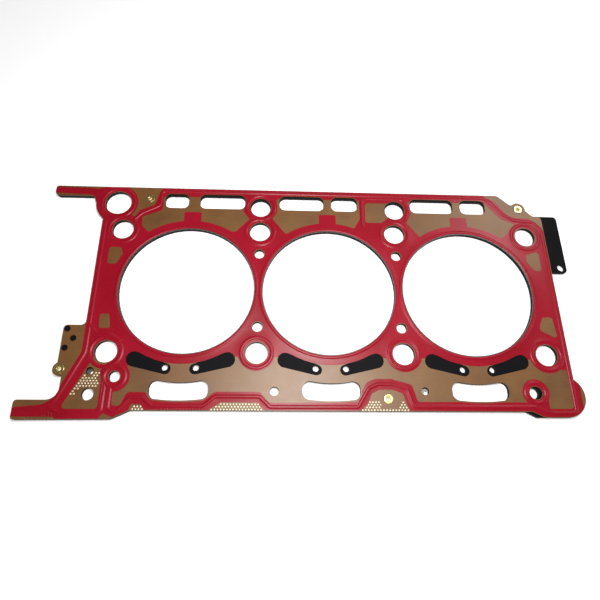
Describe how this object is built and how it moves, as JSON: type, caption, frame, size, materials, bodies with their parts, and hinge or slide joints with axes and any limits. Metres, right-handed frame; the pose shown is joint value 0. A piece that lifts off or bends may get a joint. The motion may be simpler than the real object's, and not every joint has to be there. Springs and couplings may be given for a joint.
{
  "type": "cylinder head gasket",
  "caption": "Flat layered-steel head gasket for one bank of a V engine, with large bores, bolt holes, coolant slots and a raised red elastomer bead print.",
  "frame": {"origin": "middle bore's axis, halfway through the carrier layer", "axes": "+X along the cylinder row towards the end with the black tab, +Y towards the row of long slots, +Z along the bore axes towards the cylinder head"},
  "size_m": [0.3421, 0.155, 0.0038],
  "materials": {
    "bronze_sheet": "spring steel sheet with a thin bronze-brown lacquer",
    "black_coat": "semi-matt black coating on steel",
    "bare_steel": "plain rolled steel",
    "red_elastomer": "screen-printed red elastomer, satin",
    "eyelet_brass": "plain drawn brass"
  },
  "bodies": {
    "root": {"upper_layer": "bronze_sheet", "carrier_layer": "black_coat", "lower_layer": "bronze_sheet", "stopper_ring_left": "bare_steel", "stopper_ring_middle": "bare_steel", "stopper_ring_right": "bare_steel", "upper_seal_print": "red_elastomer", "eyelet_upper_left": "eyelet_brass", "eyelet_left_tab": "eyelet_brass", "eyelet_lower_middle": "eyelet_brass", "eyelet_upper_right": "eyelet_brass"}
  },
  "joints": []
}
